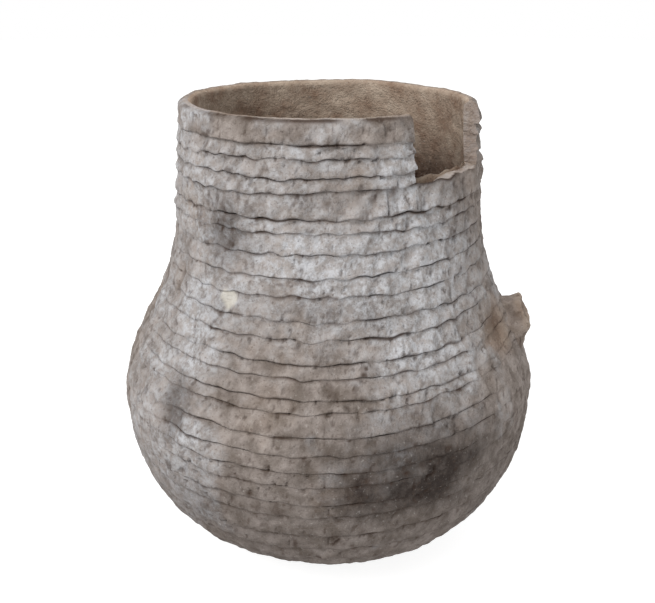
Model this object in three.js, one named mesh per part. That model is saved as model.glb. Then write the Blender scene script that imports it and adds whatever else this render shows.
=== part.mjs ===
// Corrugated cooking jar, hand built from one long spiral of clay ropes.
// Millimetres, +Z up. The origin is the centre of the flat foot, and the jar's front faces -Y.
import * as THREE from "three";

// Outline of the outer wall, from the foot to the rim
const footRadius = 24;
const bellyRadius = 97.5;
const bellyHeight = 77;
const neckRadius = 67.3;
const neckHeight = 165.3;
const rimRadius = 63.9;
const jarHeight = 207;

// How far each bend of the outline runs before it turns
const footSpread = 57;
const footLift = 7.5;
const bellyRoundBelow = 45;
const bellyRoundAbove = 24;
const shoulderSweep = 48.3;
const shoulderFlare = 3.4;
const neckLean = 1.2;
const neckRun = 17.6;
const rimRun = 13;

// Wall and the lap joint between one turn of rope and the next
const wallThickness = 5.4;
const creviceDepth = 1.6;
const lipProud = 0.7;
const lapRise = 1.5;
const jointGap = 0.3;

// Height that each turn shows at the front, from the foot up, as shares of the wall between
// the base disc and the rim band
const turnShares = [
  9.1, 9.1, 9.1, 9.1, 9.1, 9.1, 10.1, 10, 6.8, 7.7, 7, 6.2, 7.1, 9.5,
  4.2, 8, 6.6, 8.4, 7, 8.9, 7.6, 8.8, 8.3, 5.4, 10, 4.9, 6.8, 5.4,
];
const discReach = 28;
const rimBandHeight = 9.3;
const rimRounding = 1.7;

// The rope is thinned out at its two ends
const lastTurnTaper = 0.55;
const featherHeight = 1;
const turnsPerRope = 1.13;

// Finger marks along the lips of the shoulder and the neck, staggered from turn to turn
const firstMarkedTurn = 19;
const marksPerTurn = 36;
const markDepth = 0.6;
const markDrop = 0.6;
const bulgeShare = 0.4;

// The sherd that is missing from the rim, as angles from the front towards +X
const breakLeftAngle = 29;
const breakRightAngle = 73;
const breakRaggedness = 1;
const turnsBrokenOff = 2;

// The stump of the broken lug on the right shoulder
const lugAngle = 82;
const lugDrop = 105;
const lugWidth = 27;
const lugHeight = 24;
const lugProud = 8;
const lugUplift = 3;
const lugPitDepth = 2.4;
const lugSides = 20;

// Facets in one turn of plain rope, and along the base disc's outline
const plainSteps = 36;
const discSteps = 4;

const fullTurn = Math.PI * 2;

function makeOutline() {
  const path = new THREE.Path();
  path.moveTo(footRadius, 0);
  path.bezierCurveTo(
    footRadius + footSpread, footLift,
    bellyRadius, bellyHeight - bellyRoundBelow,
    bellyRadius, bellyHeight,
  );
  path.bezierCurveTo(
    bellyRadius, bellyHeight + bellyRoundAbove,
    neckRadius + shoulderFlare, neckHeight - shoulderSweep,
    neckRadius, neckHeight,
  );
  path.bezierCurveTo(
    neckRadius - neckLean, neckHeight + neckRun,
    rimRadius, jarHeight - rimRun,
    rimRadius, jarHeight,
  );
  return path;
}

const outline = makeOutline();
const outlineLength = outline.getLength();
const rimLine = outlineLength - rimBandHeight;

// A point of the wall: its angle from the front, its distance along the outline from the
// foot's edge, and its distance outwards from the outline
function wallPoint(angle, along, outward) {
  const share = THREE.MathUtils.clamp(along / outlineLength, 0, 1);
  const point = outline.getPoint(share);
  const tangent = outline.getTangent(share);
  const radius = point.x + outward * tangent.y;
  const height = point.y - outward * tangent.x;
  return new THREE.Vector3(radius * Math.sin(angle), -radius * Math.cos(angle), height);
}

// Where each turn of the spiral starts along the outline, at the front of the jar.
// The first turn winds round the base disc, so its lower edge is the disc's edge.
function makeTurnStarts() {
  const total = turnShares.reduce((sum, share) => sum + share, 0);
  const scale = (rimLine - discReach) / total;
  const starts = [discReach, discReach];
  for (const share of turnShares) {
    starts.push(starts[starts.length - 1] + share * scale);
  }
  return starts;
}

const turnStarts = makeTurnStarts();
const lastTurn = turnStarts.length - 2;
const spiralEnd = lastTurn + lastTurnTaper;

// How far a finger pressed the lip at this turn: 1 in the middle of a mark, 0 between two
function pressAt(turn) {
  if (turn < firstMarkedTurn || turn >= spiralEnd) {
    return 0;
  }
  const marks = turn * marksPerTurn + (Math.floor(turn) % 2) / 2;
  return Math.abs(2 * (marks - Math.floor(marks)) - 1);
}

// The lower edge of the rope after a number of turns. It climbs steadily to the start of
// the next turn, and the last turn climbs faster, up to the level rim band.
function ropeEdge(turn) {
  if (turn <= 1) {
    return discReach;
  }
  const sag = markDrop * pressAt(turn);
  if (turn >= lastTurn) {
    const climbed = Math.min((turn - lastTurn) / lastTurnTaper, 1);
    return THREE.MathUtils.lerp(turnStarts[lastTurn], rimLine, climbed) - sag;
  }
  const whole = Math.floor(turn);
  return THREE.MathUtils.lerp(turnStarts[whole], turnStarts[whole + 1], turn - whole) - sag;
}

const lapSlope = lapRise / (wallThickness - creviceDepth);

// The joint face between two turns: it starts in the crevice and rises towards the inside
function lapLine(edge, outward) {
  return edge - lapSlope * (creviceDepth + outward);
}

function isInBreak(turn) {
  const degrees = (turn - Math.floor(turn)) * 360;
  return degrees > breakLeftAngle && degrees < breakRightAngle;
}

const firstBrokenTurn = lastTurn - turnsBrokenOff;

// The fullest point of a rope's face, which stays below the lip of the next turn
function bulgeLine(low, high) {
  const underNextLip = lapLine(high, lipProud) - markDrop - jointGap;
  return Math.min(THREE.MathUtils.lerp(low, high, bulgeShare), underNextLip);
}

// The section of a rope: lip, bulge, crevice, inner top and inner bottom
function ropeSection(turn, hasBulge) {
  const angle = turn * fullTurn;
  const low = ropeEdge(turn) + jointGap / 2;
  const high = ropeEdge(turn + 1) - jointGap / 2;
  const lip = lipProud - markDepth * pressAt(turn);
  const isBare = turn + 1 > firstBrokenTurn && turn + 1 < firstBrokenTurn + 1 && isInBreak(turn);
  const innerHigh = isBare ? high : lapLine(high, -wallThickness);
  const section = [wallPoint(angle, lapLine(low, lip), lip)];
  if (hasBulge) {
    section.push(wallPoint(angle, bulgeLine(low, high), lip));
  }
  section.push(wallPoint(angle, high, -creviceDepth));
  section.push(wallPoint(angle, innerHigh, -wallThickness));
  section.push(wallPoint(angle, lapLine(low, -wallThickness), -wallThickness));
  return section;
}

// The plain band that closes the rim, with a rounded top
function rimSection(turn) {
  const angle = turn * fullTurn;
  const low = rimLine + jointGap / 2;
  return [
    wallPoint(angle, lapLine(low, lipProud), lipProud),
    wallPoint(angle, bulgeLine(low, outlineLength), lipProud),
    wallPoint(angle, outlineLength - rimRounding, 0),
    wallPoint(angle, outlineLength, -rimRounding),
    wallPoint(angle, outlineLength, rimRounding - wallThickness),
    wallPoint(angle, outlineLength - rimRounding, -wallThickness),
    wallPoint(angle, lapLine(low, -wallThickness), -wallThickness),
  ];
}

// Joins equal sections into one closed solid with a flat face at each end
function loftSections(sections) {
  const size = sections[0].length;
  const positions = sections.flat().flatMap((point) => [point.x, point.y, point.z]);
  const triangles = [];
  for (let i = 0; i + 1 < sections.length; i += 1) {
    for (let j = 0; j < size; j += 1) {
      const a = i * size + j;
      const d = i * size + (j + 1) % size;
      triangles.push(a, a + size, d + size, a, d + size, d);
    }
  }
  const last = (sections.length - 1) * size;
  for (let j = 1; j + 1 < size; j += 1) {
    triangles.push(0, j, j + 1, last, last + j + 1, last + j);
  }
  return makeGeometry(positions, triangles);
}

function makeGeometry(positions, triangles) {
  const geometry = new THREE.BufferGeometry();
  geometry.setAttribute("position", new THREE.Float32BufferAttribute(positions, 3));
  geometry.setIndex(triangles);
  geometry.computeVertexNormals();
  return geometry;
}

// The turns at which a rope has a section: its two ends, and a regular grid between them
function sectionTurns(start, end, stepsPerTurn) {
  const clear = 1 / 3;
  const turns = [start];
  const first = Math.ceil(start * stepsPerTurn + clear);
  const last = Math.floor(end * stepsPerTurn - clear);
  for (let step = first; step <= last; step += 1) {
    turns.push(step / stepsPerTurn);
  }
  turns.push(end);
  return turns;
}

// Half of the gap between two rope ends, in turns
function halfGapInTurns(turn) {
  const point = wallPoint(0, ropeEdge(turn), 0);
  return jointGap / 2 / (fullTurn * Math.abs(point.y));
}

function ropeGeometry(start, end) {
  const from = start + halfGapInTurns(start);
  const to = end - halfGapInTurns(end);
  const hasMarkAbove = end + 1 > firstMarkedTurn;
  const steps = hasMarkAbove ? marksPerTurn * 2 : plainSteps;
  return loftSections(sectionTurns(from, to, steps).map((turn) => ropeSection(turn, hasMarkAbove)));
}

// Start and end of every rope, in turns from the base disc. The whole ropes meet on the
// facet grid, and the rest end at the break.
function ropeSpans() {
  const leftBreak = breakLeftAngle / 360;
  const rightBreak = breakRightAngle / 360;
  const ragged = breakRaggedness / 360;
  const first = featherHeight / (turnStarts[2] - turnStarts[1]);
  const cut = firstBrokenTurn + leftBreak;
  const count = Math.round((cut - first) / turnsPerRope);
  const meetings = [];
  for (let i = 0; i < count; i += 1) {
    meetings.push(Math.ceil((first + (cut - first) * i / count) * plainSteps) / plainSteps);
  }
  meetings.push(cut);
  const spans = [];
  for (let i = 0; i < count; i += 1) {
    spans.push([meetings[i], meetings[i + 1]]);
  }
  for (let turn = firstBrokenTurn; turn < lastTurn; turn += 1) {
    const shift = turn % 2 === 0 ? ragged : -ragged;
    spans.push([turn + rightBreak + shift, turn + 1 + leftBreak - shift]);
  }
  const climb = rimLine - turnStarts[lastTurn];
  spans.push([lastTurn + rightBreak, spiralEnd - lastTurnTaper * featherHeight / climb]);
  return spans;
}

// The flattened disc of clay that the first rope winds round
function discGeometry() {
  const profile = [new THREE.Vector2(0, 0)];
  const addPoint = (along, outward) => {
    const point = wallPoint(0, along, outward);
    profile.push(new THREE.Vector2(-point.y, point.z));
  };
  const edge = discReach - jointGap / 2;
  for (let i = 0; i < discSteps; i += 1) {
    addPoint(discReach * i / discSteps, 0);
  }
  addPoint(edge, -creviceDepth);
  addPoint(lapLine(edge, -wallThickness), -wallThickness);
  for (let i = discSteps - 1; i >= 0; i -= 1) {
    addPoint(discReach * i / discSteps, -wallThickness);
  }
  profile.push(new THREE.Vector2(0, wallThickness));
  return new THREE.LatheGeometry(profile, plainSteps).rotateX(Math.PI / 2);
}

// The stump of the lug: a back that follows the wall, sides that draw in, and a broken
// face with a shallow pit
function lugGeometry() {
  const seat = lipProud + jointGap;
  const rings = [
    { share: 1, outward: seat },
    { share: 0.76, outward: seat + lugProud * 0.3 },
    { share: 0.56, outward: seat + lugProud * 0.8 },
    { share: 0.42, outward: seat + lugProud },
    { share: 0.18, outward: seat + lugProud - lugPitDepth },
  ];
  const centreAlong = outlineLength - lugDrop;
  const centreAngle = THREE.MathUtils.degToRad(lugAngle);
  const radius = Math.hypot(wallPoint(0, centreAlong, 0).x, wallPoint(0, centreAlong, 0).y);
  const lugPoint = (share, outward, side) => {
    const around = side / lugSides * fullTurn;
    const lift = lugUplift * (outward - seat) / lugProud;
    const angle = centreAngle + share * lugWidth / 2 * Math.cos(around) / radius;
    const along = centreAlong + share * lugHeight / 2 * Math.sin(around) + lift;
    return wallPoint(angle, along, outward);
  };
  const points = [lugPoint(0, seat, 0)];
  for (const ring of rings) {
    for (let side = 0; side < lugSides; side += 1) {
      points.push(lugPoint(ring.share, ring.outward, side));
    }
  }
  points.push(lugPoint(0, rings[rings.length - 1].outward, 0));
  const triangles = [];
  const frontCentre = points.length - 1;
  const lastRing = frontCentre - lugSides;
  for (let side = 0; side < lugSides; side += 1) {
    const next = (side + 1) % lugSides;
    triangles.push(0, 1 + next, 1 + side);
    for (let ring = 0; ring + 1 < rings.length; ring += 1) {
      const a = 1 + ring * lugSides + side;
      const b = 1 + ring * lugSides + next;
      triangles.push(a, b, b + lugSides, a, b + lugSides, a + lugSides);
    }
    triangles.push(lastRing + side, lastRing + next, frontCentre);
  }
  return makeGeometry(points.flatMap((point) => [point.x, point.y, point.z]), triangles);
}

function clay(color) {
  return new THREE.MeshStandardMaterial({ color, roughness: 0.92, metalness: 0 });
}

const chalkyClay = clay(0xb9b0a8);
const shoulderClay = clay(0xaea399);
const bellyClay = clay(0x9b8f87);
const footClay = clay(0x8a7f78);
const rimClay = clay(0xb0a69c);
const lugClay = clay(0xa3947f);

// The clay is darker towards the foot, where the jar stood in the fire
function ropeMaterial(turn) {
  if (turn > lastTurn - 8) {
    return chalkyClay;
  }
  return turn > firstMarkedTurn - 2 ? shoulderClay : bellyClay;
}

const jar = new THREE.Group();

function addPiece(name, geometry, material) {
  const mesh = new THREE.Mesh(geometry, material);
  mesh.name = name;
  jar.add(mesh);
}

addPiece("base_disc", discGeometry(), footClay);
ropeSpans().forEach(([start, end], index) => {
  const name = `clay_rope_${String(index + 1).padStart(2, "0")}`;
  addPiece(name, ropeGeometry(start, end), ropeMaterial(start));
});
const rimSteps = marksPerTurn * 2;
const rimTurns = sectionTurns(breakRightAngle / 360, 1 + breakLeftAngle / 360, rimSteps);
addPiece("rim_band", loftSections(rimTurns.map(rimSection)), rimClay);
addPiece("lug_stump", lugGeometry(), lugClay);

export default jar;
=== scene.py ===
# Corrugated jar: the surface of the fired clay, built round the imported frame.
# Lengths here are millimetres, and turn into metres when a mesh is made. A place on the wall
# is its angle from the front, its distance along the wall's outline and its distance outwards.
# Along the spiral of ropes, angles are counted in turns.
import itertools
import math
from collections import namedtuple

import bpy
import numpy as np
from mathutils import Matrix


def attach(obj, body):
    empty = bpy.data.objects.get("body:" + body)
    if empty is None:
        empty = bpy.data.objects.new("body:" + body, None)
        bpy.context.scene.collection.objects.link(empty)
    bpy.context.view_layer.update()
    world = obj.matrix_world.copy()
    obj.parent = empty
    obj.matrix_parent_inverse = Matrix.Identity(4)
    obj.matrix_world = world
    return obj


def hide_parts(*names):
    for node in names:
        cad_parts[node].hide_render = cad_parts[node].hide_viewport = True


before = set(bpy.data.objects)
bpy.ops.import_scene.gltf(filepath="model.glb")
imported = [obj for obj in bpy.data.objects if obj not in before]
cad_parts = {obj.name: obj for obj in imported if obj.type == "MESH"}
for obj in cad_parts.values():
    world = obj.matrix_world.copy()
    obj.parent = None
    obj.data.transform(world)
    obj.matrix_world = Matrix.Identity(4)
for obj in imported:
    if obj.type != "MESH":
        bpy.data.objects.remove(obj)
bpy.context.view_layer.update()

MM = 0.001
TURN = 2 * math.pi

# Outline of the outer wall, as in the frame: radius and height, from the foot to the rim
FOOT_RADIUS = 24
BELLY_RADIUS = 97.5
BELLY_HEIGHT = 77
NECK_RADIUS = 67.3
NECK_HEIGHT = 165.3
RIM_RADIUS = 63.9
JAR_HEIGHT = 207
OUTLINE_BENDS = (
    ((FOOT_RADIUS, 0), (81, 7.5), (BELLY_RADIUS, 32), (BELLY_RADIUS, BELLY_HEIGHT)),
    ((BELLY_RADIUS, BELLY_HEIGHT), (BELLY_RADIUS, 101), (70.7, 117), (NECK_RADIUS, NECK_HEIGHT)),
    ((NECK_RADIUS, NECK_HEIGHT), (66.1, 182.9), (RIM_RADIUS, 194), (RIM_RADIUS, JAR_HEIGHT)),
)

# Wall and spiral, as in the frame
WALL = 5.4
LAP_RISE = 1.5
DISC_REACH = 28
RIM_BAND = 9.3
TURN_SHARES = (
    9.1, 9.1, 9.1, 9.1, 9.1, 9.1, 10.1, 10, 6.8, 7.7, 7, 6.2, 7.1, 9.5,
    4.2, 8, 6.6, 8.4, 7, 8.9, 7.6, 8.8, 8.3, 5.4, 10, 4.9, 6.8, 5.4,
)
LAST_TURN_TAPER = 0.55
LAST_ROPE_SHARE = 0.95
ROPE_TURNS = 1.13
MEETINGS_PER_TURN = 36

# Missing sherd at the rim, in turns from the front
BREAK_LEFT = 29 / 360
BREAK_RIGHT = 73 / 360
BROKEN_TURNS = 2
BREAK_REACH = 0.006

# Floor of the break: degrees from the front and height
BREAK_FLOOR = ((29, 179.2), (36, 179.8), (42, 180.0), (46, 181.6), (52, 182.2), (62, 181.4), (72, 180.8))

# Relief of the ropes
MARKS_PER_TURN = 37
GROOVE_DEPTH = 1.3
LIP_PROUD = 0.95
LIP_SAG = 0.9
PRESS_DEPTH = 1.8
PIT_DEPTH = 0.9
RIM_ROUNDING = 2.0
LEAST_ROPE_HEIGHT = 0.6

# Lug stump on the right shoulder
LUG_ANGLE = 82
LUG_DROP = 105
LUG_WIDTH = 27
LUG_HEIGHT = 24
LUG_PROUD = 8
LUG_UPLIFT = 3
LUG_ROOT_DEPTH = 3
LUG_STEPS = (0, 0.15, 0.35, 0.6, 0.75, 0.9, 1)
LUG_WIDTH_SHARES = (1.2, 0.98, 0.8, 0.66, 0.5, 0.2, 0.02)
LUG_STANDING = (-2.2, 0.6, 3.2, 7.4, 8.2, 5.4, 4.4)

# How finely the meshes are cut
COLUMNS_PER_TURN = 800
OUTER_SHARES = np.r_[0, 0.03, 0.07, 0.12, np.linspace(0.18, 0.8, 6), 0.87, 0.92, 0.96, 0.985, 1]
INNER_SHARES = np.r_[1, 0.996, 0.9, np.linspace(0.75, 0.15, 10), 0.004, 0]
EDGE_ROWS = 4
DISC_COLUMNS = 360
LUG_COLUMNS = 96
LUG_ROWS = 34

# Rows of a rope's section, in order round it. The inner face has as many as the outer one
OUTER_ROWS = slice(0, len(OUTER_SHARES))
TOP_ROWS = slice(OUTER_ROWS.stop, OUTER_ROWS.stop + EDGE_ROWS)
INNER_ROWS = slice(TOP_ROWS.stop, TOP_ROWS.stop + len(INNER_SHARES))
BOTTOM_ROWS = slice(INNER_ROWS.stop, INNER_ROWS.stop + EDGE_ROWS)
SECTION_ROWS = BOTTOM_ROWS.stop

# Layout of the map for textures: shares of its side
MAP_LEFT = 0.01
MAP_RIGHT = 0.94
CAP_LEFT = 0.96
CAP_RIGHT = 0.99
STRIP_MARGIN = 0.04
STRIPS_PER_TURN = 4.5
FACE_MAP_SHARES = {"outer": 0.6, "top": 0.08, "inner": 0.24, "bottom": 0.08}

# Camera of the photograph
CAMERA_DISTANCE = 334.3
CAMERA_HEIGHT = 250.6
CAMERA_PITCH = 22.77
CAMERA_FOCUS_PX = 749.8
PICTURE_WIDTH_PX = 655
AXIS_SHIFT_PX = 0.8
SENSOR = 36
CLIP_START = 10

# Lights: degrees from the front, degrees up, metres away, metres wide, watts
KEY_LIGHT = (-38, 50, 1.5, 0.8, 15)
FILL_LIGHT = (150, 35, 1.6, 1.2, 7)
LIGHT_AIM_HEIGHT = 0.1
SKY_STRENGTH = 0.52
FLOOR_GLOW = 1.6
FLOOR_GLOW_SHARE = 0.55
FLOOR_GREY = 0.86
FLOOR_DROP = 0.2

# Colours, as shares of full red, green and blue on a screen
DARK_CLAY = (0.47, 0.43, 0.40)
LIGHT_CLAY = (0.645, 0.605, 0.58)
DARK_INSIDE = (0.59, 0.495, 0.425)
LIGHT_INSIDE = (0.76, 0.69, 0.62)
CHALK_FILM = (0.775, 0.775, 0.785)
SOOT = (0.225, 0.195, 0.18)
# Warm painted shade inside the jar, and soot over tan clay outside
WARM_SOOT_AND_SHADE = (0.19, 0.105, 0.065)
DARK_GRIT = (0.34, 0.28, 0.24)
LIGHT_GRIT = (0.80, 0.78, 0.76)
# Grime, and painted shade in the crevices, hollows and pits
GRIME_AND_SHADE = (0.235, 0.165, 0.12)
CHIP_WHITE = (0.88, 0.86, 0.81)

FIELD_NAMES = ("groove", "film", "soot_and_shade", "rust", "chip")
BREAK_FIELDS = {"groove": 0.0, "film": 0.35, "soot_and_shade": 0.0, "rust": 0.55}
CAP_FIELDS = {"groove": 0.0, "film": 0.25, "soot_and_shade": 0.05, "rust": 0.6, "chip": 0.0}

# Scars on the outer wall: how far they stand out, degrees from the front, distance along the
# outline, half width, half height, softness
SCARS = (
    (-1.6, -38, 211, 9, 10, 0.6),  # hollow on the left of the neck
    (-1.5, -42, 137, 6, 11, 0.5),  # oval hollow on the left of the belly
    (-1.6, -65, 165.5, 2.6, 3.4, 0.5),  # pit on the left of the shoulder
    (0.9, -72, 170, 6, 4, 0.6),  # bump behind that pit
    (-2.2, -37.5, 165.4, 0.8, 1.7, 0.4),  # deep small hole
    (-2.0, 38.5, 153.5, 1.4, 0.9, 0.4),  # small hole on the right
    (-1.2, 32.5, 137, 0.7, 3.0, 0.4),  # upright ticks between the ropes
    (-1.0, 26.3, 138.6, 0.7, 2.8, 0.4),
    (-1.0, 19.9, 226.5, 0.6, 5.0, 0.5),  # crease in the neck
    (-0.8, -13, 251, 2.2, 0.6, 0.5),  # crack in the rim band
    (-1.8, 62, 162, 8, 8, 0.6),  # hollow beside the lug
    (1.6, 82, 229, 9, 4, 0.6),  # lump of clay beside the missing sherd
)

# Soot marks, as strength, then place and size as above
SOOT_MARKS = (
    (0.6, -37, 212, 11, 12, 0.8),
    (0.6, -42, 137, 7, 13, 0.7),
    (0.5, 62, 162, 9, 8, 0.7),
)


# Outline

def bend_points(bend, count=500):
    """Points along one bend of the outline, from its two ends and its two pull points."""
    t = np.linspace(0, 1, count)[:, None]
    weights = ((1 - t) ** 3, 3 * (1 - t) ** 2 * t, 3 * (1 - t) * t * t, t ** 3)
    return sum(weight * np.array(point, float) for weight, point in zip(weights, bend))


def make_outline():
    """Points of the outline, their distance along it and the direction that it runs in."""
    bends = [bend_points(bend)[:-1] for bend in OUTLINE_BENDS]
    points = np.vstack(bends + [[(RIM_RADIUS, JAR_HEIGHT)]])
    along = np.r_[0, np.cumsum(np.hypot(*np.diff(points, axis=0).T))]
    direction = np.gradient(points, axis=0)
    direction /= np.hypot(*direction.T)[:, None]
    return points, along, direction


OUT_POINTS, OUT_ALONG, OUT_DIRECTION = make_outline()
LENGTH = OUT_ALONG[-1]
RIM_LINE = LENGTH - RIM_BAND
LUG_ALONG = LENGTH - LUG_DROP


def outer_radius(along):
    return np.interp(along, OUT_ALONG, OUT_POINTS[:, 0])


def wall_point(angle, along, outward):
    """The point at an angle, a distance along the outline and a distance outwards."""
    height = np.interp(along, OUT_ALONG, OUT_POINTS[:, 1])
    above_rim = np.maximum(along - LENGTH, 0)
    runs_out = np.interp(along, OUT_ALONG, OUT_DIRECTION[:, 0])
    runs_up = np.interp(along, OUT_ALONG, OUT_DIRECTION[:, 1])
    radius = outer_radius(along) + outward * runs_up
    height = height - outward * runs_out + above_rim
    return np.stack([radius * np.sin(angle), -radius * np.cos(angle), height], -1)


def from_front(angle):
    """An angle in radians as degrees from the front, -180 to 180, positive to the right."""
    return np.degrees((angle + math.pi) % TURN - math.pi)


# Noise

HASH_AXES = (374761393, 668265263, 2147483647)
HASH_SEED = 974711
HASH_MIX = 1274126177
HASH_MASK = 0xFFFFFFFF
HASH_LOW = 0xFFFF


def lattice(cell_x, cell_y, cell_z, seed):
    """A fixed value from 0 to 1 for each cell of a grid of whole numbers."""
    mixed = cell_x * HASH_AXES[0] + cell_y * HASH_AXES[1] + cell_z * HASH_AXES[2] + seed * HASH_SEED
    mixed = mixed & HASH_MASK
    mixed = ((mixed ^ (mixed >> 13)) * HASH_MIX) & HASH_MASK
    mixed = mixed ^ (mixed >> 16)
    return (mixed & HASH_LOW) / HASH_LOW


def fade(part):
    return part * part * (3 - 2 * part)


def smooth(value, low, high):
    """0 below low, 1 above high and a soft step between them."""
    return fade(np.clip((value - low) / (high - low), 0, 1))


def noise(points, size, seed):
    """Smooth noise from -1 to 1, with features of about the given size."""
    place = points / size
    cell = np.floor(place).astype(np.int64)
    near = fade(place - cell)
    total = 0
    for corner in itertools.product((0, 1), repeat=3):
        weight = 1
        for axis, far in enumerate(corner):
            weight = weight * (near[..., axis] if far else 1 - near[..., axis])
        cells = (cell[..., axis] + far for axis, far in enumerate(corner))
        total = total + weight * lattice(*cells, seed)
    return total * 2 - 1


def layered(points, size, seed, layers=3):
    """Noise with finer and weaker layers over it, each half the size of the last."""
    total = 0
    for layer in range(layers):
        total = total + noise(points, size / 2 ** layer, seed + layer) / 2 ** layer
    return total / 1.5


def line_noise(place, seed):
    """Noise along a line, from -1 to 1, with one feature per unit."""
    cell = np.floor(place).astype(np.int64)
    near = fade(place - cell)
    zero = np.zeros_like(cell)
    low = lattice(cell, zero, zero, seed)
    high = lattice(cell + 1, zero, zero, seed)
    return (low * (1 - near) + high * near) * 2 - 1


def spot(angle, along, at_degrees, at_along, half_width, half_height, softness):
    """1 inside an oval on the wall, falling softly to 0 across its edge."""
    away = (angle - math.radians(at_degrees) + math.pi) % TURN - math.pi
    across = away * outer_radius(along) / half_width
    upwards = (along - at_along) / half_height
    return 1 - smooth(np.hypot(across, upwards), 1 - softness, 1 + softness)


# Spiral

def make_turn_starts():
    """Distance along the outline at which each turn of the spiral starts."""
    scale = (RIM_LINE - DISC_REACH) / sum(TURN_SHARES)
    return np.r_[DISC_REACH, DISC_REACH + np.r_[0, np.cumsum(TURN_SHARES)] * scale]


TURN_STARTS = make_turn_starts()
LAST_TURN = len(TURN_STARTS) - 2
SPIRAL_END = LAST_TURN + LAST_TURN_TAPER
FIRST_BROKEN = LAST_TURN - BROKEN_TURNS
SPIRAL_TURNS = np.r_[np.arange(LAST_TURN + 1), SPIRAL_END]
SPIRAL_LINE = np.r_[TURN_STARTS[:LAST_TURN + 1], RIM_LINE]


def finger_marks(turn, share):
    """How hard a finger pressed here, from 0 to 1. The marks slant up to the right."""
    slanted = turn * MARKS_PER_TURN - share * 0.5
    slanted = slanted + 0.35 * line_noise(turn * 16, seed=17)
    mark = np.floor(slanted).astype(np.int64)
    zero = np.zeros_like(mark)
    hardness = 0.25 + 0.75 * lattice(mark, zero, zero, seed=18)
    part = slanted - mark
    return hardness * np.sin(math.pi * part) ** 2 * (1.35 - 0.7 * part)


def rope_edge(turn):
    """The wavy joint line under the rope, which sags under each finger mark."""
    line = np.interp(turn, SPIRAL_TURNS, SPIRAL_LINE)
    free = smooth(turn, 1.0, 2.0) * (1 - smooth(turn, LAST_TURN + 0.3, SPIRAL_END))
    sag = 0.35 - 1.1 * finger_marks(turn, 0.0)
    drift = line_noise(turn * 7.3, seed=12) * 0.75 + line_noise(turn * 17.1, seed=13) * 0.5
    drift = drift + line_noise(turn * 95, seed=14) * 0.32 + line_noise(turn * 210, seed=19) * 0.16
    return line + free * (sag * (0.45 + 0.55 * smooth(turn, 12, 17)) + drift)


def rim_joint(turn):
    """The slightly wavy joint under the rim band, the same on each turn."""
    return RIM_LINE + 0.22 * np.sin(TURN * turn * 7) + 0.16 * np.sin(TURN * turn * 19 + 1)


def rope_spans():
    """Start and end of each rope in turns of the spiral, where the frame has them."""
    feather = 1 / (TURN_STARTS[2] - TURN_STARTS[1])
    cut = FIRST_BROKEN + BREAK_LEFT
    count = round((cut - feather) / ROPE_TURNS)
    evenly = [feather + (cut - feather) * i / count for i in range(count)]
    meetings = [math.ceil(turn * MEETINGS_PER_TURN) / MEETINGS_PER_TURN for turn in evenly] + [cut]
    spans = list(zip(meetings[:-1], meetings[1:]))
    for turn in range(FIRST_BROKEN, LAST_TURN):
        spans.append((turn + BREAK_RIGHT, turn + 1 + BREAK_LEFT))
    spans.append((LAST_TURN + BREAK_RIGHT, LAST_TURN + LAST_TURN_TAPER * LAST_ROPE_SHARE))
    return spans


# Missing sherd

def under_the_break(turns):
    """Whether the top of the rope at these turns is the floor of the break."""
    part = turns - np.floor(turns)
    in_break = (part > BREAK_LEFT) & (part < BREAK_RIGHT)
    return in_break & (turns + 1 > FIRST_BROKEN) & (turns + 1 < FIRST_BROKEN + 1)


def break_floor(turns):
    """Height of the floor of the break, which steps up from left to right."""
    degrees, heights = zip(*BREAK_FLOOR)
    return np.interp((turns - np.floor(turns)) * 360, degrees, heights)


def turned(points, angle):
    """Points turned round the jar's axis."""
    cosine = np.cos(angle)
    sine = np.sin(angle)
    x = points[..., 0] * cosine - points[..., 1] * sine
    y = points[..., 0] * sine + points[..., 1] * cosine
    return np.stack([x, y, points[..., 2]], -1)


def with_ragged_ends(grid, turns, start, end):
    """The grid with the ends that meet the break pulled in and out unevenly."""
    for side, limit, edge in ((0, start, BREAK_RIGHT), (-1, end, BREAK_LEFT)):
        meets_break = abs(limit - math.floor(limit) - edge) < 1e-6 and limit >= FIRST_BROKEN
        if meets_break:
            seed = 81 - side
            ragged = noise(grid[side], 5.2, seed) + noise(grid[side], 1.7, seed + 2) * 0.45
            near = 1 - smooth(np.abs(turns - limit), 0, BREAK_REACH)
            grid = turned(grid, ragged[None] / NECK_RADIUS * near[:, None])
    return grid


# Relief of the outer wall

def relief_strength(angle, along):
    """How sharply the ropes stand out: most on the neck's front, least on the rubbed flanks."""
    degrees = from_front(angle)
    rubbed_left = smooth(-degrees, 32, 50) * (1 - smooth(-degrees, 100, 130))
    rubbed_left = rubbed_left * (1 - smooth(along, 205, 225) * 0.6)
    rubbed_right = smooth(degrees, 28, 52) * (1 - smooth(degrees, 95, 125))
    rubbed_right = rubbed_right * (1 - smooth(along, 195, 222))
    low_down = 1 - smooth(along, 118, 150)
    shoulder = spot(angle, along, -8, 183, 34, 9, 0.6) * 0.35
    return np.clip(1 - 0.75 * rubbed_left - 0.7 * rubbed_right - 0.35 * low_down - shoulder, 0.15, 1)


def dent_field(points):
    """The uneven surface that pressing hands leave, about -1 to 1 millimetre."""
    broad = noise(points, 9.5, seed=41) * 0.6
    ridges = (0.5 - np.abs(noise(points, 6.1, seed=42))) * 0.7
    lumps = noise(points, 3.6, seed=47) * 0.36
    return broad + (ridges + lumps) + noise(points, 1.9, seed=43) * 0.22


def pit_field(points):
    """Small pits in the clay, 0 to 1."""
    return smooth(noise(points, 1.6, seed=44), 0.5, 0.8)


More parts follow.
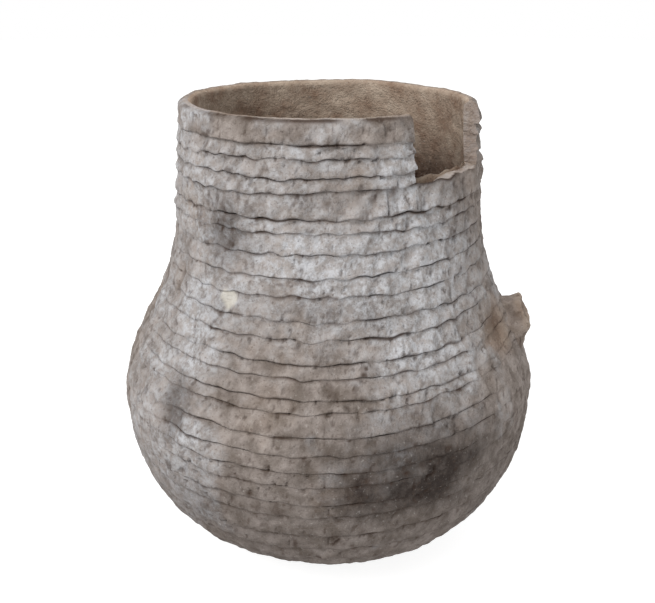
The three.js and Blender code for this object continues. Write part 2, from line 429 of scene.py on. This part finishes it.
def outer_offset(points, turn, angle, along, share, height):
    """How far the outer face stands out at a share of the way up a rope of some height."""
    strength = relief_strength(angle, along) * (0.8 + 0.55 * noise(points, 17, seed=31))
    lip = smooth(share, 0, 0.1 + 0.5 / np.maximum(height, 3))
    fall = smooth(share, 0.22, 1.0)
    depth = GROOVE_DEPTH * (0.3 + 1.05 * smooth(noise(points, 10, seed=32), -0.4, 0.5))
    rope = -depth + (depth + LIP_PROUD) * lip - fall * (GROOVE_DEPTH + 0.15) * lip
    press = finger_marks(turn, share) * smooth(share, 0.0, 0.25) * (1 - smooth(share, 0.55, 1.0))
    rope = rope - PRESS_DEPTH * press * smooth(along, 90, 130) + 0.4
    pits = -PIT_DEPTH * pit_field(points) * smooth(noise(points, 13, seed=45), -0.3, 0.4)
    sway = layered(points, 60, seed=46, layers=2) * 0.6
    rough = 0.85 + 0.35 * smooth(along, 110, 150)
    return rope * np.clip(strength, 0.1, 1.2) + dent_field(points) * rough + pits + sway


def scar_offset(angle, along):
    return sum(height * spot(angle, along, *place) for height, *place in SCARS)


def inner_offset(points):
    """How far the inner face stands out: a smooth wall with slanted scrape marks."""
    slanted = points @ np.array([[0.9, 0, 0.5], [0, 1, 0], [-0.5, 0, 0.9]]) * [1, 1, 3.2]
    scrapes = noise(slanted, 12, seed=61) * 0.22
    return -WALL + layered(points, 40, seed=62, layers=2) * 0.5 + scrapes + noise(points, 2.4, seed=63) * 0.1


def rounding(along, top, radius):
    """How far a rounded corner draws back below its top edge."""
    near = np.clip((along - top + radius) / radius, 0, 1)
    return radius * (1 - np.sqrt(1 - near * near * 0.98))


# Fields that the material reads, one value from 0 to 1 at each point

def groove_field(points, angle, along, share, dents):
    """Brown grime, with painted shade, in the crevices, hollows and pits."""
    # Painted shade and grime along the joints under and over each rope, darker where the ropes stand out
    # most
    crevice = np.exp(-((np.minimum(share, 1 - share) * 8.5) / 0.9) ** 2)
    broken = 0.45 + 0.75 * noise(points, 9, seed=71)
    crevice = crevice * broken * relief_strength(angle, along) * 1.15
    scabs = smooth(layered(points, 3.4, seed=77), 0.28, 0.5) * smooth(noise(points, 16, seed=78), -0.1, 0.5)
    # Painted shade in the hollows and pits, and blotches of grime
    return crevice + 0.5 * smooth(-dents, 0.35, 0.9) + 0.55 * pit_field(points) + 0.45 * scabs


def film_field(angle, along, dents, patches):
    """Chalky film, on the high places of the neck and the left of the belly."""
    degrees = from_front(angle)
    film = smooth(along, 120, 205) * (0.45 + 0.4 * np.cos(np.radians(degrees - 5)))
    film = film + 0.75 * smooth(patches, -0.2, 0.5) - 0.42 + 0.4 * dents
    film = film + 0.3 * spot(angle, along, -60, 225, 30, 40, 0.6)
    film = film - 0.45 * smooth(degrees, 42, 70) * (1 - smooth(degrees, 110, 150))
    film = film + 0.45 * spot(angle, along, 38, 186, 40, 26, 0.7)
    film = film + 0.75 * spot(angle, along, -52, 125, 34, 46, 0.7)
    return film - 0.55 * smooth(along, 245, 249)


def soot_field(points, angle, along, patches):
    """Soot of the cooking fire: the lower body, the fire cloud and a few smudges."""
    degrees = from_front(angle)
    soot_and_shade = 0.5 * (1 - smooth(along, 96, 138)) * (0.65 + 0.35 * smooth(along, 30, 80))
    soot_and_shade = soot_and_shade * (0.8 + 0.3 * patches)
    soot_and_shade = soot_and_shade - 0.28 * smooth(-degrees, 20, 60) * smooth(along, 60, 110)
    soot_and_shade = soot_and_shade - 0.2 * smooth(degrees, 45, 70) * smooth(along, 60, 100)
    cloud = spot(angle, along, 20, 117, 37, 21, 0.85) * (0.85 + 0.4 * noise(points, 11, seed=73))
    shoulder = spot(angle, along, -5, 182, 40, 7, 0.8) * smooth(patches, -0.3, 0.3)
    soot_and_shade = np.maximum(soot_and_shade, np.maximum(1.05 * cloud, 0.4 * shoulder))
    for strength, *place in SOOT_MARKS:
        soot_and_shade = np.maximum(soot_and_shade, strength * spot(angle, along, *place))
    return soot_and_shade


def rust_field(points, angle, along):
    """Tan clay, as inside: beside the lug and in faint patches."""
    beside_lug = 0.9 * spot(angle, along, 63, 161, 11, 10, 0.8)
    return beside_lug + 0.22 * smooth(layered(points, 17, seed=74), 0.15, 0.7)


def chip_field(points, angle, along):
    """The white chip on the left shoulder."""
    place = spot(angle, along, -32, 187.3, 3.2, 4.6, 0.8)
    return 0.6 * smooth(place + 0.4 * noise(points, 2.6, seed=75), 0.35, 0.75)


def outer_fields(points, angle, along, share):
    dents = dent_field(points)
    patches = layered(points, 26, seed=72, layers=4)
    fields = {
        "groove": groove_field(points, angle, along, share, dents),
        "film": film_field(angle, along, dents, patches),
        "soot_and_shade": soot_field(points, angle, along, patches),
        "rust": rust_field(points, angle, along),
        "chip": chip_field(points, angle, along),
    }
    return {name: np.clip(field, 0, 1) for name, field in fields.items()}


def inner_fields(points):
    """Inside, the clay is tan all over, with painted shade that makes it darker below the neck and at the
    bottom.
    """
    height = points[..., 2]
    # Painted shade inside: darker below the neck and towards the bottom
    soot_and_shade = 0.95 * (1 - smooth(height, 158, 198)) ** 1.5 + 0.35 * (1 - smooth(height, 20, 120))
    soot_and_shade = np.minimum(soot_and_shade, 0.93) + 0.1 * smooth(layered(points, 14, seed=76), 0.0, 0.6)
    none = np.zeros_like(soot_and_shade)
    return {"groove": none, "film": none, "soot_and_shade": np.clip(soot_and_shade, 0, 1), "rust": none + 1, "chip": none}


def blended(outside, inside, share_inside):
    return {name: outside[name] * (1 - share_inside) + inside[name] * share_inside for name in FIELD_NAMES}


# Meshes

Shell = namedtuple("Shell", "points quads map_corners fields smooth_faces")


def join_shells(shells):
    quads = []
    first = 0
    for shell in shells:
        quads.append(shell.quads + first)
        first += len(shell.points)
    return Shell(
        np.vstack([shell.points for shell in shells]),
        np.vstack(quads),
        np.vstack([shell.map_corners for shell in shells]),
        {name: np.concatenate([shell.fields[name] for shell in shells]) for name in FIELD_NAMES},
        np.concatenate([shell.smooth_faces for shell in shells]),
    )


def make_piece(name, shell):
    """A mesh object of the shell, with its fields as attributes and its map for textures."""
    mesh = bpy.data.meshes.new(name)
    mesh.vertices.add(len(shell.points))
    mesh.vertices.foreach_set("co", (shell.points * MM).astype(np.float32).ravel())
    mesh.loops.add(shell.quads.size)
    mesh.loops.foreach_set("vertex_index", shell.quads.astype(np.int32).ravel())
    mesh.polygons.add(len(shell.quads))
    mesh.polygons.foreach_set("loop_start", np.arange(0, shell.quads.size, 4, dtype=np.int32))
    mesh.polygons.foreach_set("use_smooth", shell.smooth_faces)
    for field_name in FIELD_NAMES:
        attribute = mesh.attributes.new(field_name, "FLOAT", "POINT")
        attribute.data.foreach_set("value", shell.fields[field_name].astype(np.float32))
    layer = mesh.uv_layers.new(name="OFBake")
    layer.data.foreach_set("uv", shell.map_corners.astype(np.float32).ravel())
    mesh.update(calc_edges=True)
    mesh.validate()
    piece = bpy.data.objects.new(name, mesh)
    bpy.context.scene.collection.objects.link(piece)
    return piece


def quad_corners(near_low, far_low, far_high, near_high):
    return np.stack(np.broadcast_arrays(near_low, far_low, far_high, near_high), -1).reshape(-1, 4)


def map_corners(left, right, low, high):
    """Corners on the map of quads from left to right and from low to high."""
    across = quad_corners(*np.broadcast_arrays(left, right, right, left, low)[:4])
    upwards = quad_corners(*np.broadcast_arrays(low, low, high, high, left)[:4])
    return np.stack([across, upwards], -1)


def band_quads(columns):
    """Quads of a band whose columns are closed rings, each a rope's section."""
    column = np.arange(columns - 1)[:, None] * SECTION_ROWS
    row = np.arange(SECTION_ROWS)[None]
    following = (row + 1) % SECTION_ROWS
    far = column + SECTION_ROWS
    return quad_corners(column + row, far + row, far + following, column + following)


def band_map(columns, strips):
    """Map of a band, cut into strips that lie above each other."""
    place = np.arange(columns - 1)[:, None] * strips / (columns - 1)
    strip = np.floor(place)
    left = MAP_LEFT + (MAP_RIGHT - MAP_LEFT) * (place - strip)
    right = left + (MAP_RIGHT - MAP_LEFT) * strips / (columns - 1)
    faces = (("outer", OUTER_ROWS), ("top", TOP_ROWS), ("inner", INNER_ROWS), ("bottom", BOTTOM_ROWS))
    heights = []
    for face, rows in faces:
        is_edge = face in ("top", "bottom")
        quads = rows.stop - rows.start + (1 if is_edge else -1)
        heights += [FACE_MAP_SHARES[face] / quads] * quads
    level = STRIP_MARGIN + (1 - 2 * STRIP_MARGIN) * np.r_[0, np.cumsum(heights)][None]
    return map_corners(left, right, (strip + level[:, :-1]) / strips, (strip + level[:, 1:]) / strips)


def closed_shell(grid, fields, first_centre, last_centre):
    """A grid closed round its columns, with a fan to a point at each end of its rows."""
    columns, rows = grid.shape[:2]
    column = np.arange(columns)[:, None]
    row = np.arange(rows - 1)[None]
    here = column * rows + row
    beside = (column + 1) % columns * rows + row
    quads = quad_corners(here, beside, beside + 1, here + 1)
    place = 0.01 + 0.98 * np.arange(columns + 1)[:, None] / columns
    level = 0.02 + 0.96 * np.arange(rows)[None] / (rows - 1)
    corners = map_corners(place[:-1], place[1:], level[:, :-1], level[:, 1:])

    first = np.arange(0, columns, 2)
    second = first + 1
    third = first + 2
    fans = []
    fan_corners = []
    for end_row, order in ((0, (third, second, first)), (rows - 1, (first, second, third))):
        is_last = end_row > 0
        centre = np.full_like(first, columns * rows + is_last)
        edge = [at_column % columns * rows + end_row for at_column in order]
        fans.append(quad_corners(centre, *edge))
        across = place[quad_corners(second, *order), 0]
        upwards = np.full(across.shape, level[0, end_row])
        upwards[:, 0] = is_last
        fan_corners.append(np.stack([across, upwards], -1))
    quads = np.vstack([quads] + fans)
    points = np.vstack([grid.reshape(-1, 3), first_centre, last_centre])
    values = {name: np.r_[field.ravel(), field[0, 0], field[0, -1]] for name, field in fields.items()}
    return Shell(points, quads, np.vstack([corners] + fan_corners), values, np.ones(len(quads), bool))


# Ropes and rim band

def bridge(start, end):
    """Rows evenly between two rows of points."""
    t = np.linspace(0, 1, EDGE_ROWS + 2)[1:-1, None]
    return start[:, None] * (1 - t) + end[:, None] * t


def rope_turns(start, end):
    """The columns of a rope, at the same angles on each turn, so that neighbours meet."""
    first = math.ceil(start * COLUMNS_PER_TURN + 0.5)
    last = math.floor(end * COLUMNS_PER_TURN - 0.5)
    return np.r_[start, np.arange(first, last + 1) / COLUMNS_PER_TURN, end]


def rope_lines(turns):
    """The joint lines below and above a rope."""
    low = np.where(turns >= SPIRAL_END, rim_joint(turns), rope_edge(turns))
    high = np.where(turns + 1 >= SPIRAL_END, rim_joint(turns), rope_edge(turns + 1))
    return low, np.maximum(high, low + LEAST_ROPE_HEIGHT)


def rim_lines(turns):
    """The joint line below the rim band and the uneven lip above it."""
    uneven = 0.45 * line_noise(turns * 11, seed=16) + 0.15 * line_noise(turns * 47, seed=20)
    return rim_joint(turns), LENGTH + uneven - 0.3


def outer_face(turns, low, high, is_rim):
    """Points of the outer face, whose lip hangs over the rope below."""
    angle = turns[:, None] * TURN
    height = (high - low)[:, None]
    along = low[:, None] + height * OUTER_SHARES
    share = np.broadcast_to(OUTER_SHARES, along.shape)
    flat = wall_point(angle, along, 0)
    offset = outer_offset(flat, turns[:, None], angle, along, share, height) + scar_offset(angle, along)
    if is_rim:
        offset = offset - rounding(along, high[:, None], RIM_ROUNDING)
    sag = LIP_SAG * smooth(share, 0.02, 0.12) * (1 - smooth(share, 0.12, 0.55))
    sag = sag * relief_strength(angle, along) * (0.35 + 0.9 * smooth(noise(flat, 8, seed=33), -0.4, 0.5))
    return wall_point(angle, along - sag, offset), along, share


def inner_face(turns, low, high, is_rim):
    """Points of the inner face. The slanted lap sets its edges higher than the outer ones."""
    angle = turns[:, None] * TURN
    lap_low = low + LAP_RISE
    lap_high = high if is_rim else high + LAP_RISE
    along = lap_low[:, None] + (lap_high - lap_low)[:, None] * INNER_SHARES
    offset = inner_offset(wall_point(angle, along, -WALL))
    if is_rim:
        offset = offset + rounding(along, high[:, None], RIM_ROUNDING * 0.8)
    return wall_point(angle, along, offset), along


def rim_lip(top):
    """The rounded lip between the outer and the inner face."""
    bulge = np.sin(np.linspace(0, math.pi, EDGE_ROWS + 2)[1:-1]) * 0.5
    lip = top.copy()
    lip[..., 2] += bulge + noise(top, 4, seed=93) * 0.2 + noise(top, 1.8, seed=94) * 0.1
    return lip


def rough_floor(turns, top):
    """The top of a rope, with the broken floor where the sherd is missing."""
    rough = noise(top, 2.2, seed=91) * 0.5 + noise(top, 5, seed=92) * 0.5
    inward = np.linspace(0, 1, EDGE_ROWS + 2)[1:-1]
    lift = (break_floor(turns)[:, None] - top[..., 2]) * smooth(inward, 0, 0.3) + rough
    floor = top.copy()
    floor[..., 2] += np.where(under_the_break(turns)[:, None], lift, 0)
    return floor


def rope_fields(grid, turns, along, inner_along, share, is_rim):
    """Fields over a rope's sections: outside, inside, and a mix on the top."""
    angle = np.broadcast_to(turns[:, None] * TURN, grid.shape[:2])
    top_along = np.repeat(along[:, -1:], EDGE_ROWS, 1)
    bottom_along = np.repeat(along[:, :1], EDGE_ROWS, 1)
    all_along = np.concatenate([along, top_along, inner_along, bottom_along], 1)
    all_share = np.full(grid.shape[:2], 0.5)
    all_share[:, OUTER_ROWS] = share
    all_share[:, BOTTOM_ROWS] = 0
    share_inside = np.zeros(SECTION_ROWS)
    share_inside[TOP_ROWS] = 0.35
    share_inside[INNER_ROWS.start:] = 1
    fields = blended(outer_fields(grid, angle, all_along, all_share), inner_fields(grid), share_inside)
    if not is_rim:
        for name, value in BREAK_FIELDS.items():
            fields[name][under_the_break(turns), TOP_ROWS] = value
    return fields


def band_shell(grid, turns, fields, is_rim):
    """The rope without its ends. Its laps are flat, so that its edges stay crisp."""
    is_lap = np.zeros(SECTION_ROWS, bool)
    is_lap[INNER_ROWS.stop - 1:] = True
    if not is_rim:
        is_lap[OUTER_ROWS.stop - 1:TOP_ROWS.stop] = True
    strips = max(1, round(STRIPS_PER_TURN * (turns[-1] - turns[0])))
    return Shell(
        grid.reshape(-1, 3),
        band_quads(len(turns)),
        band_map(len(turns), strips),
        {name: field.ravel() for name, field in fields.items()},
        np.tile(~is_lap, len(turns) - 1),
    )


def cap_shell(section, is_end):
    """The rough end of a rope, stretched over its section."""
    outer = section[OUTER_ROWS]
    inner = section[INNER_ROWS][::-1]
    top = np.vstack([outer[-1:], section[TOP_ROWS], inner[-1:]])
    bottom = np.vstack([outer[:1], section[BOTTOM_ROWS][::-1], inner[:1]])
    rows = len(outer)
    steps = len(top)
    up = np.linspace(0, 1, rows)[:, None, None]
    inward = np.linspace(0, 1, steps)[None, :, None]
    across = (1 - inward) * outer[:, None] + inward * inner[:, None]
    upwards = (1 - up) * bottom[None] + up * top[None]
    low_corners = (1 - up) * ((1 - inward) * outer[0] + inward * inner[0])
    high_corners = up * ((1 - inward) * outer[-1] + inward * inner[-1])
    face = across + upwards - low_corners - high_corners

    middle = np.sin(np.linspace(0, math.pi, rows))[:, None] * np.sin(np.linspace(0, math.pi, steps))
    bumps = (noise(face, 1.6, seed=95) * 0.45 + noise(face, 3.6, seed=96) * 0.4) * np.sqrt(np.abs(middle))
    face = turned(face, bumps / np.hypot(face[..., 0], face[..., 1]))

    corner = np.arange(rows - 1)[:, None] * steps + np.arange(steps - 1)[None]
    quads = quad_corners(corner, corner + steps, corner + steps + 1, corner + 1)
    u = CAP_LEFT + (CAP_RIGHT - CAP_LEFT) * np.linspace(0, 1, steps)
    v = np.linspace(0.02, 0.48, rows) + (0.5 if is_end else 0)
    places = np.stack(np.broadcast_arrays(u[None], v[:, None]), -1).reshape(-1, 2)
    quads = quads[:, ::-1] if is_end else quads
    fields = {name: np.full(rows * steps, value) for name, value in CAP_FIELDS.items()}
    return Shell(face.reshape(-1, 3), quads, places[quads], fields, np.ones(len(quads), bool))


def build_rope(name, start, end, is_rim=False):
    """A rope or the rim band: a closed band along the spiral, with an end at each side."""
    turns = rope_turns(start, end)
    low, high = rim_lines(turns) if is_rim else rope_lines(turns)
    outer, along, share = outer_face(turns, low, high, is_rim)
    inner, inner_along = inner_face(turns, low, high, is_rim)
    top = bridge(outer[:, -1], inner[:, 0])
    if is_rim:
        top = rim_lip(top)
    else:
        top = rough_floor(turns, top)
        lowered = np.minimum(inner[:, 0, 2], break_floor(turns))
        inner[:, 0, 2] = np.where(under_the_break(turns), lowered, inner[:, 0, 2])
    bottom = bridge(inner[:, -1], outer[:, 0])
    grid = np.concatenate([outer, top, inner, bottom], 1)
    grid = with_ragged_ends(grid, turns, start, end)
    fields = rope_fields(grid, turns, along, inner_along, share, is_rim)
    shells = [band_shell(grid, turns, fields, is_rim), cap_shell(grid[0], False), cap_shell(grid[-1], True)]
    return make_piece(name, join_shells(shells))


# Base disc

def disc_rings(radius, height, angle):
    """Level rings round the axis, from radii and heights."""
    x = radius * np.sin(angle)
    y = -radius * np.cos(angle)
    return np.stack(np.broadcast_arrays(x, y, height), -1)


def build_disc():
    """The base disc: foot, flank up to the first rope, inner wall and floor inside."""
    angle = (np.arange(DISC_COLUMNS) / DISC_COLUMNS * TURN)[:, None]
    shares = np.linspace(0, 1, 12)
    ring_shares = np.linspace(0.02, 1, 7)
    ones = np.ones((DISC_COLUMNS, 1))

    foot = disc_rings(FOOT_RADIUS * ring_shares[None], 0.0, angle)
    along = DISC_REACH * shares[1:] * ones
    flat = wall_point(angle, along, 0)
    offset = outer_offset(flat, angle / TURN, angle, along, np.full(along.shape, 0.35), 9.0)
    offset = offset * smooth(along, 3, 16) - GROOVE_DEPTH * smooth(along, DISC_REACH - 2, DISC_REACH)
    flank = wall_point(angle, along, offset)
    flank[..., 2] = np.maximum(flank[..., 2], 0.02)

    inner_along = (DISC_REACH + LAP_RISE) * shares[::-1] * ones
    wall = wall_point(angle, inner_along, inner_offset(wall_point(angle, inner_along, -WALL)))
    floor_shares = ring_shares[::-1][None, 1:]
    floor_edge = np.hypot(wall[:, -1, 0], wall[:, -1, 1])[:, None]
    floor = disc_rings(floor_edge * floor_shares, wall[:, -1, 2].mean() - 0.3 * (1 - floor_shares), angle)
    floor[..., 2] += noise(floor, 6, seed=63) * 0.25

    grid = np.concatenate([foot, flank, wall, floor], 1)
    foot_along = np.zeros(foot.shape[:2])
    all_along = np.concatenate([foot_along, along, inner_along, np.zeros(floor.shape[:2])], 1)
    all_angle = np.broadcast_to(angle, all_along.shape)
    outside = outer_fields(grid, all_angle, all_along, np.full(all_along.shape, 0.5))
    outer_rows = foot.shape[1] + flank.shape[1]
    share_inside = np.r_[np.zeros(outer_rows), np.ones(grid.shape[1] - outer_rows)]
    fields = blended(outside, inner_fields(grid), share_inside)
    floor_middle = (0, 0, floor[:, -1, 2].mean())
    return make_piece("base_disc_clay", closed_shell(grid, fields, (0, 0, 0), floor_middle))


# Lug stump

def build_lug():
    """The stump of the lug: a flared root, drawn-in sides and a broken face with a pit."""
    outwards = np.linspace(0, 1, LUG_ROWS)
    width = np.interp(outwards, LUG_STEPS, LUG_WIDTH_SHARES)
    standing = np.interp(outwards, LUG_STEPS, LUG_STANDING)
    around = np.arange(LUG_COLUMNS) / LUG_COLUMNS * TURN
    lobes = 1 + 0.1 * np.sin(around * 2 + 0.6) + 0.07 * np.sin(around * 3 + 2) + 0.04 * np.sin(around * 7)
    across = width[None] * (LUG_WIDTH / 2) * (np.cos(around) * lobes)[:, None]
    upwards = width[None] * (LUG_HEIGHT / 2) * (np.sin(around) * lobes)[:, None]
    uplift = LUG_UPLIFT * np.clip(standing, 0, None) / LUG_PROUD
    angle = math.radians(LUG_ANGLE) + across / outer_radius(LUG_ALONG)
    along = LUG_ALONG + upwards + uplift[None]
    even = wall_point(angle, along, standing[None])
    rough = noise(even, 6, seed=101) * 1.2 + noise(even, 2.4, seed=102) * 0.6
    outer = wall_point(angle, along, standing[None] + rough * smooth(outwards, 0.1, 0.4))
    root = wall_point(angle[:, :1], along[:, :1], -LUG_ROOT_DEPTH)
    grid = np.concatenate([root, outer], 1)

    angle = np.concatenate([angle[:, :1], angle], 1)
    along = np.concatenate([along[:, :1], along], 1)
    outwards = np.r_[0, outwards]
    fields = outer_fields(grid, angle, along, np.full(along.shape, 0.5))
    darkening = 0.35 * smooth(noise(grid, 3.1, seed=104), 0.0, 0.6)
    fields["groove"] = np.clip(fields["groove"] + darkening, 0, 1)
    fields["film"] = fields["film"] * 0.5
    fields["rust"] = np.clip(fields["rust"] + 0.45 * smooth(outwards, 0.35, 0.7) + 0.2, 0, 1)
    # Darker at the broken tip and in its pit
    fields["soot_and_shade"] = np.broadcast_to(0.75 * smooth(outwards, 0.78, 0.95), along.shape)
    return make_piece("lug_stump_clay", closed_shell(grid, fields, grid[:, 0].mean(0), grid[:, -1].mean(0)))


# Material

def linear(value):
    """A share of full screen brightness as a share of full light."""
    return value / 12.92 if value <= 0.04045 else ((value + 0.055) / 1.055) ** 2.4


class NodeTree:
    """Short names for the nodes that a material here is made of."""

    def __init__(self, tree):
        self.nodes = tree.nodes
        self.links = tree.links
        self.place = self.nodes.new("ShaderNodeTexCoord").outputs["Object"]

    def give(self, socket, value):
        """Sets a socket to a number or a colour, or links it to another node's output."""
        if isinstance(value, tuple):
            socket.default_value = (*(linear(share) for share in value), 1)
        elif isinstance(value, (int, float)):
            socket.default_value = value
        else:
            self.links.new(value, socket)

    def field(self, name):
        node = self.nodes.new("ShaderNodeAttribute")
        node.attribute_name = name
        return node.outputs["Fac"]

    def grain(self, size, detail=2.0, roughness=0.5):
        """Noise over the object, with features of about the given size."""
        node = self.nodes.new("ShaderNodeTexNoise")
        self.give(node.inputs["Scale"], 1 / (size * MM))
        self.give(node.inputs["Detail"], detail)
        self.give(node.inputs["Roughness"], roughness)
        self.give(node.inputs["Vector"], self.place)
        return node.outputs["Fac"]

    def remap(self, value, low, high, to_low=0.0, to_high=1.0):
        node = self.nodes.new("ShaderNodeMapRange")
        self.give(node.inputs["From Min"], low)
        self.give(node.inputs["From Max"], high)
        self.give(node.inputs["To Min"], to_low)
        self.give(node.inputs["To Max"], to_high)
        self.give(node.inputs["Value"], value)
        return node.outputs["Result"]

    def maths(self, kind, first, second):
        node = self.nodes.new("ShaderNodeMath")
        node.operation = kind
        self.give(node.inputs[0], first)
        self.give(node.inputs[1], second)
        return node.outputs["Value"]

    def mix(self, amount, below, above):
        node = self.nodes.new("ShaderNodeMix")
        node.data_type = "RGBA"
        self.give(node.inputs["Factor"], amount)
        self.give(node.inputs["A"], below)
        self.give(node.inputs["B"], above)
        return node.outputs["Result"]


def clay_colour(tree):
    """Body clay, then film, soot and painted shade, grit, grime and painted shade in the crevices, and the
    chip over it.
    """
    body = tree.mix(tree.remap(tree.grain(7, 5, 0.6), 0.36, 0.64), DARK_CLAY, LIGHT_CLAY)
    inside = tree.mix(tree.remap(tree.grain(11, 5, 0.6), 0.34, 0.66), DARK_INSIDE, LIGHT_INSIDE)
    film_cut = tree.maths("MULTIPLY", tree.remap(tree.grain(3.2, 6, 0.7), 0.42, 0.6), 0.75)
    film = tree.maths("MULTIPLY", tree.field("film"), tree.maths("ADD", film_cut, 0.3))
    # Soot outside and painted shade inside, broken up by grain
    soot_and_shade_cut = tree.remap(tree.grain(3.4, 4, 0.6), 0.25, 0.75, 0.78, 1.15)
    soot_and_shade = tree.maths("MULTIPLY", tree.field("soot_and_shade"), soot_and_shade_cut)
    dark_grit = tree.maths("MULTIPLY", tree.remap(tree.grain(1.1), 0.6, 0.72), 0.42)
    light_grit = tree.maths("MULTIPLY", tree.remap(tree.grain(1.3, 1), 0.66, 0.78), 0.22)
    # Grime, with painted shade in the crevices, hollows and pits
    darkening = tree.maths("MULTIPLY", tree.field("groove"), 0.85)
    # Inside, where the clay is tan, this darkening is painted shade
    soot_and_shade_colour = tree.mix(tree.field("rust"), SOOT, WARM_SOOT_AND_SHADE)
    colour = tree.mix(tree.field("rust"), body, inside)
    colour = tree.mix(film, colour, CHALK_FILM)
    colour = tree.mix(soot_and_shade, colour, soot_and_shade_colour)
    colour = tree.mix(dark_grit, colour, DARK_GRIT)
    colour = tree.mix(light_grit, colour, LIGHT_GRIT)
    colour = tree.mix(darkening, colour, GRIME_AND_SHADE)
    return tree.mix(tree.field("chip"), colour, CHIP_WHITE)


def clay_material():
    """Rough, gritty fired clay."""
    material = bpy.data.materials.new("fired_clay")
    material.use_nodes = True
    tree = NodeTree(material.node_tree)
    shader = tree.nodes["Principled BSDF"]
    tree.give(shader.inputs["Roughness"], 0.93)
    tree.give(shader.inputs["Specular IOR Level"], 0.18)
    tree.give(shader.inputs["Base Color"], clay_colour(tree))
    bump = tree.nodes.new("ShaderNodeBump")
    tree.give(bump.inputs["Strength"], 0.8)
    tree.give(bump.inputs["Distance"], 0.9 * MM)
    coarse_grain = tree.maths("MULTIPLY", tree.grain(2.8, 3), 1.2)
    tree.give(bump.inputs["Height"], tree.maths("ADD", tree.grain(0.9, 3, 0.6), coarse_grain))
    tree.give(shader.inputs["Normal"], bump.outputs["Normal"])
    return material


# Pieces


def dress(piece, node, material):
    piece.data.materials.append(material)
    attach(piece, "root")
    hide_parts(node)


def build_jar():
    clay = clay_material()
    for number, (start, end) in enumerate(rope_spans(), 1):
        node = f"clay_rope_{number:02d}"
        dress(build_rope(node + "_clay", start, end), node, clay)
    dress(build_rope("rim_band_clay", BREAK_RIGHT, 1 + BREAK_LEFT, is_rim=True), "rim_band", clay)
    dress(build_disc(), "base_disc", clay)
    dress(build_lug(), "lug_stump", clay)


# Camera, light and floor

def add_camera():
    data = bpy.data.cameras.new("camera")
    data.sensor_width = SENSOR
    data.lens = CAMERA_FOCUS_PX / PICTURE_WIDTH_PX * SENSOR
    data.shift_x = -AXIS_SHIFT_PX / PICTURE_WIDTH_PX
    data.clip_start = CLIP_START * MM
    camera = bpy.data.objects.new("camera", data)
    camera.location = (0, -CAMERA_DISTANCE * MM, CAMERA_HEIGHT * MM)
    camera.rotation_euler = (math.radians(90 - CAMERA_PITCH), 0, 0)
    bpy.context.scene.collection.objects.link(camera)
    bpy.context.scene.camera = camera


def add_area_light(name, from_front_degrees, up_degrees, distance, width, power):
    """A square lamp that looks at the middle of the jar."""
    data = bpy.data.lights.new(name, "AREA")
    data.size = width
    data.energy = power
    light = bpy.data.objects.new(name, data)
    angle = math.radians(from_front_degrees)
    up = math.radians(up_degrees)
    level = distance * math.cos(up)
    height = LIGHT_AIM_HEIGHT + distance * math.sin(up)
    light.location = (level * math.sin(angle), -level * math.cos(angle), height)
    light.rotation_euler = (math.radians(90) - up, 0, angle)
    bpy.context.scene.collection.objects.link(light)


def either(tree, first, second):
    node = tree.nodes.new("ShaderNodeMath")
    node.operation = "MAXIMUM"
    tree.links.new(first, node.inputs[0])
    tree.links.new(second, node.inputs[1])
    return node.outputs[0]


def add_world():
    """Even light from all sides. Seen directly, in a shine or through something, it is white."""
    world = bpy.data.worlds.new("studio")
    bpy.context.scene.world = world
    world.use_nodes = True
    tree = world.node_tree
    rays = tree.nodes.new("ShaderNodeLightPath").outputs
    seen = either(tree, rays["Is Camera Ray"], rays["Is Glossy Ray"])
    seen = either(tree, seen, rays["Is Transmission Ray"])
    strength = tree.nodes.new("ShaderNodeMapRange")
    strength.inputs["To Min"].default_value = SKY_STRENGTH
    strength.inputs["To Max"].default_value = 1.0
    tree.links.new(seen, strength.inputs["Value"])
    background = tree.nodes["Background"]
    background.inputs["Color"].default_value = (1, 1, 1, 1)
    tree.links.new(strength.outputs["Result"], background.inputs["Strength"])


def floor_material():
    """Pale floor that glows for the camera only, so that it is white but for the jar's shadow."""
    material = bpy.data.materials.new("pale_floor")
    material.use_nodes = True
    tree = material.node_tree
    matt = tree.nodes["Principled BSDF"]
    matt.inputs["Base Color"].default_value = (FLOOR_GREY, FLOOR_GREY, FLOOR_GREY, 1)
    matt.inputs["Roughness"].default_value = 1
    matt.inputs["Specular IOR Level"].default_value = 0
    glow = tree.nodes.new("ShaderNodeEmission")
    glow.inputs["Strength"].default_value = FLOOR_GLOW
    share = tree.nodes.new("ShaderNodeMath")
    share.operation = "MULTIPLY"
    share.inputs[1].default_value = FLOOR_GLOW_SHARE
    rays = tree.nodes.new("ShaderNodeLightPath").outputs
    blend = tree.nodes.new("ShaderNodeMixShader")
    tree.links.new(rays["Is Camera Ray"], share.inputs[0])
    tree.links.new(share.outputs[0], blend.inputs["Fac"])
    tree.links.new(matt.outputs[0], blend.inputs[1])
    tree.links.new(glow.outputs[0], blend.inputs[2])
    tree.links.new(blend.outputs[0], tree.nodes["Material Output"].inputs["Surface"])
    return material


def add_floor():
    place = (0, 0, -FLOOR_DROP * MM)
    bpy.ops.mesh.primitive_circle_add(vertices=96, radius=4, fill_type="NGON", location=place)
    floor = bpy.context.object
    floor.name = "floor"
    floor.data.materials.append(floor_material())


bpy.context.scene.view_settings.view_transform = "Standard"
add_camera()
add_area_light("key_light", *KEY_LIGHT)
add_area_light("fill_light", *FILL_LIGHT)
add_world()
add_floor()
build_jar()
